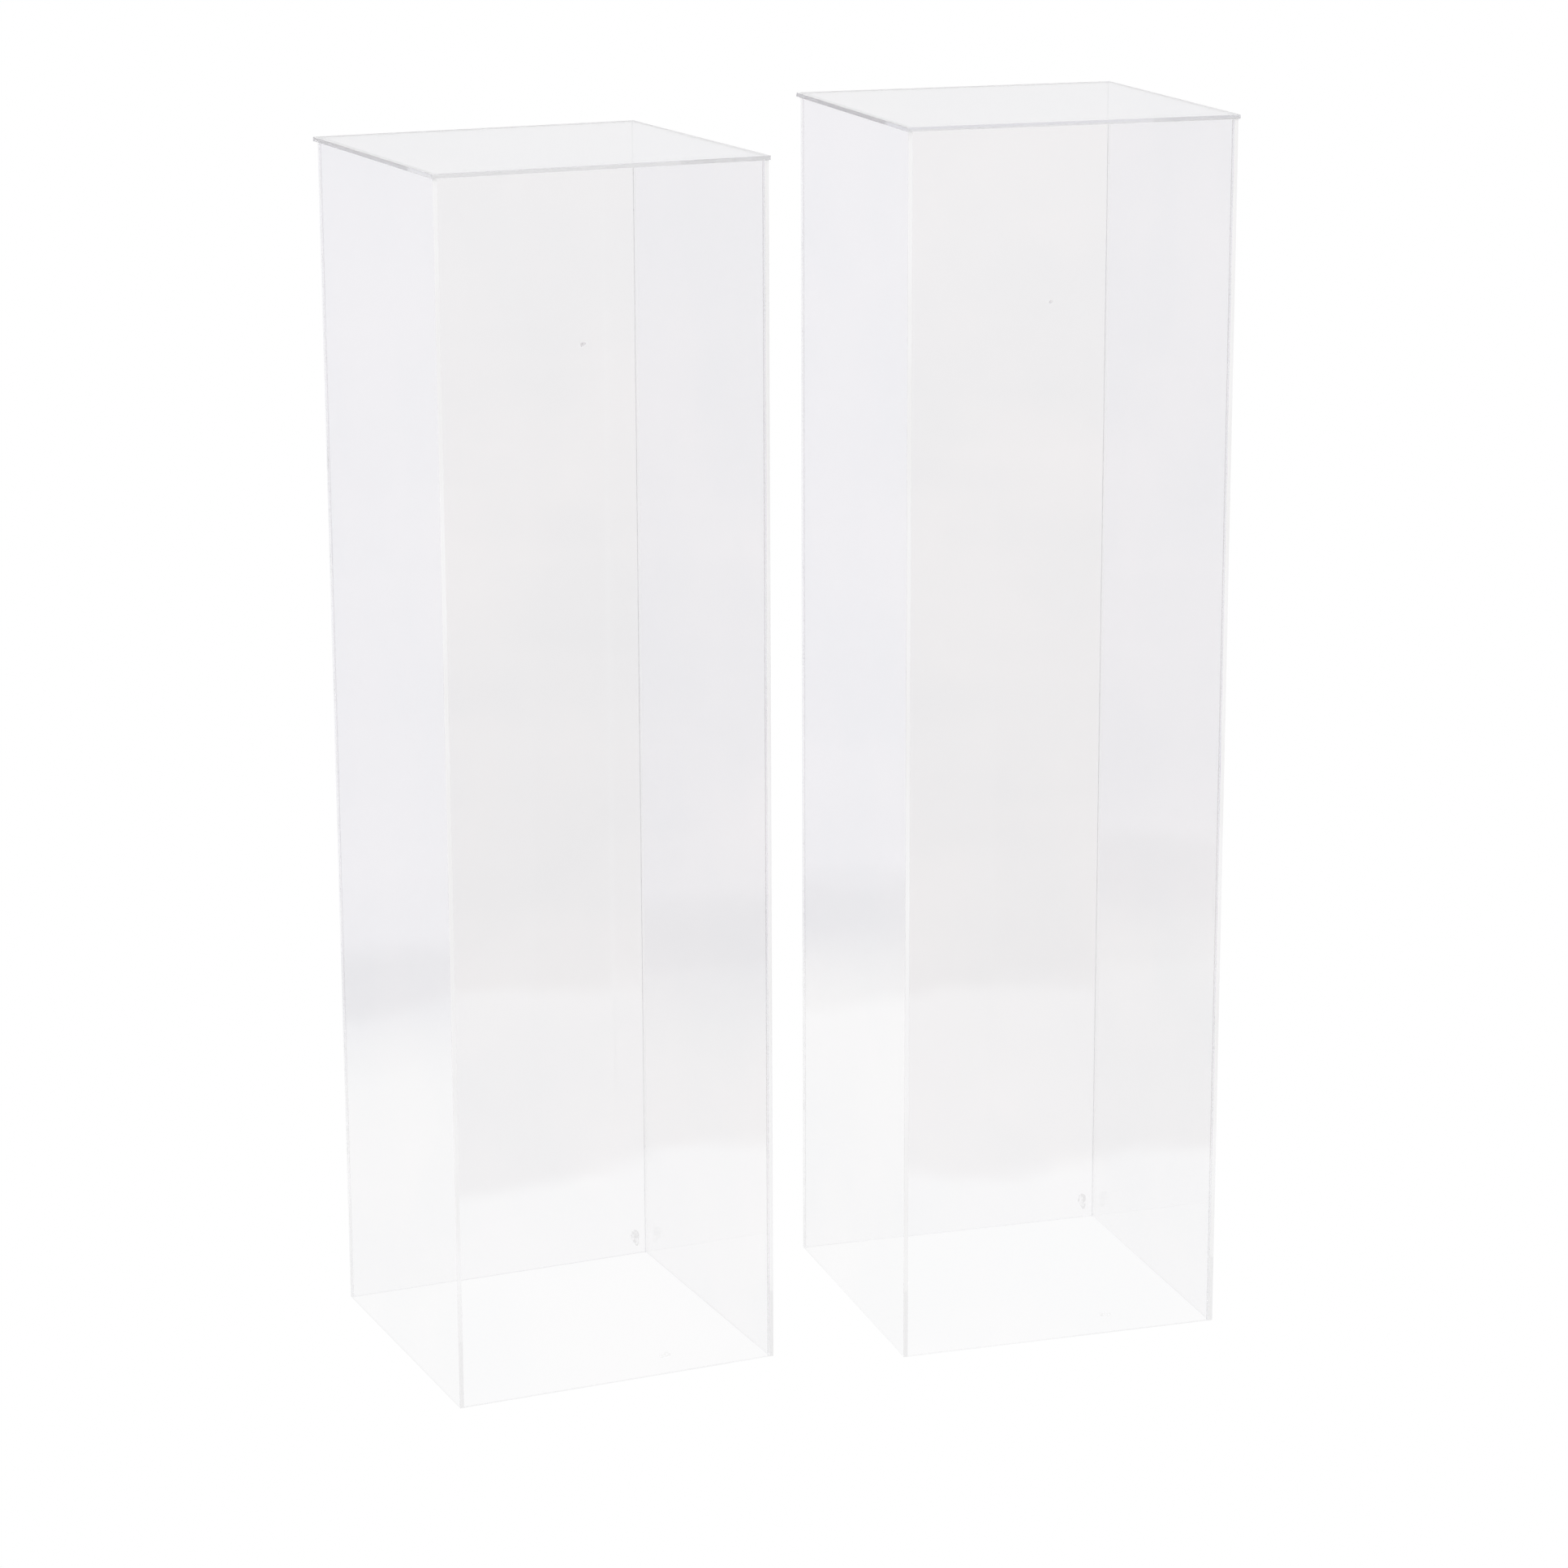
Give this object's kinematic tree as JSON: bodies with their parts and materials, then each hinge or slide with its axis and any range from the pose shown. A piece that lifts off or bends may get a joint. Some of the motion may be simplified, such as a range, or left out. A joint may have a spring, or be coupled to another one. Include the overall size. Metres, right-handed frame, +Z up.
{
  "type": "clear display plinth pair",
  "caption": "Clear acrylic display plinths: free-standing square columns of cemented sheet, open underneath, under loose lid sheets that lift off.",
  "frame": {"origin": "on the floor, under the middle of the bounding box of both plinths", "axes": "+Z up, -Y out of the left plinth's front wall, +X from the left plinth towards the right one"},
  "size_m": [0.618, 0.3246, 0.92],
  "materials": {
    "wall_sheet": "clear, polished",
    "lid_sheet": "clear, polished"
  },
  "bodies": {
    "columns": {"left_plinth_front_wall": "wall_sheet", "left_plinth_back_wall": "wall_sheet", "left_plinth_left_wall": "wall_sheet", "left_plinth_right_wall": "wall_sheet", "right_plinth_front_wall": "wall_sheet", "right_plinth_back_wall": "wall_sheet", "right_plinth_left_wall": "wall_sheet", "right_plinth_right_wall": "wall_sheet"},
    "left_lid": {"left_plinth_lid": "lid_sheet"},
    "right_lid": {"right_plinth_lid": "lid_sheet"}
  },
  "joints": [
    {"name": "left_lid_lift", "type": "slide", "parent": "columns", "child": "left_lid", "axis": [0, 0, 1], "range_m": [0, 0.3]},
    {"name": "right_lid_lift", "type": "slide", "parent": "columns", "child": "right_lid", "axis": [0, 0, 1], "range_m": [0, 0.3]}
  ]
}
